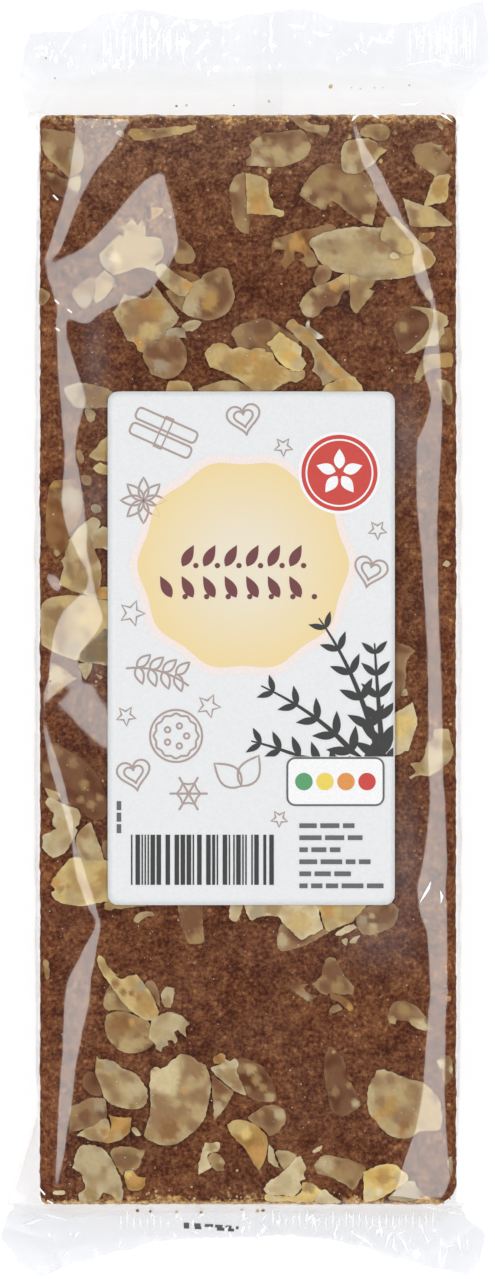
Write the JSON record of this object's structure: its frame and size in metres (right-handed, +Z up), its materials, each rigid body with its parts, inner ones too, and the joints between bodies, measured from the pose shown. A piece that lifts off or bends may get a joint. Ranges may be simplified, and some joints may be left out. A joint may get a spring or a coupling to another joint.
{
  "type": "filled speculaas bar",
  "caption": "Flat baked spiced-biscuit bar with almond flakes on top, sealed in a clear film pack with crimped end fins and a plain round-cornered paper label.",
  "frame": {"origin": "middle of the pack's box, at the surface it lies on", "axes": "+Y along the bar, towards the end whose fin stands out widest; +X across it, to the right of someone who faces +Y and sees the label; +Z up, out of the labelled side"},
  "size_m": [0.0978, 0.2556, 0.0177],
  "materials": {
    "speculaas": "baked spiced dough, dull and crumbly, seen through clear film",
    "almond": "toasted sliced almond, dull to satin",
    "film": "clear glossy packing film, heat sealed",
    "label_paper": "white satin label paper with a plain print"
  },
  "bodies": {
    "root": {"clear_bag": "speculaas", "label": "label_paper"}
  },
  "joints": []
}
